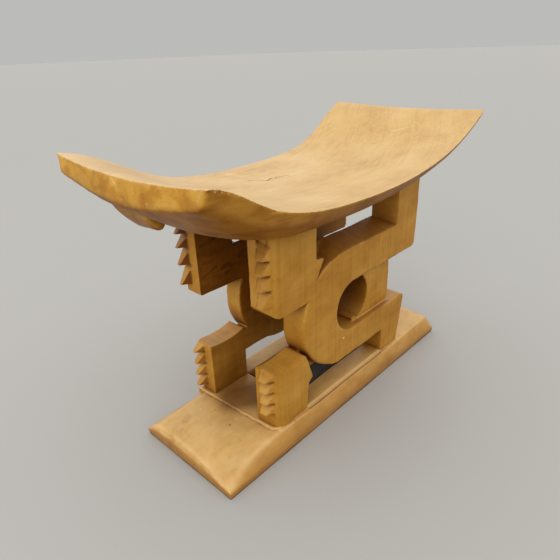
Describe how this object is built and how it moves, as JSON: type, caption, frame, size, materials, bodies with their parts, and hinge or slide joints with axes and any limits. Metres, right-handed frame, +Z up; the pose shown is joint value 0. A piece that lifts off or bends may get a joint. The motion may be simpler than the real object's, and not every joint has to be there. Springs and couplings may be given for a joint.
{
  "type": "carved wooden stool",
  "caption": "Carved wooden stool: a saddle-shaped seat on two openwork side panels with a ring, arms and toothed blocks, standing on a flat bevelled base board.",
  "frame": {"origin": "centre of the base board's footprint, on the floor", "axes": "+Z up, +X along the seat away from the toothed end, +Y from the near side panel to the far one"},
  "size_m": [0.5141, 0.252, 0.378],
  "materials": {
    "seat_wood": "satin, pale honey wood, lightly waxed",
    "panel_wood": "satin, pale honey wood, chisel marks",
    "base_wood": "satin, pale honey wood, hand-cut edges"
  },
  "bodies": {
    "root": {"seat": "seat_wood", "seat_lug": "seat_wood", "base_board": "base_wood", "near_upper_block": "panel_wood", "near_lower_block": "panel_wood", "near_ring": "panel_wood", "near_filler": "panel_wood", "far_upper_block": "panel_wood", "far_lower_block": "panel_wood", "far_ring": "panel_wood", "far_filler": "panel_wood", "bored_core": "panel_wood"}
  },
  "joints": []
}
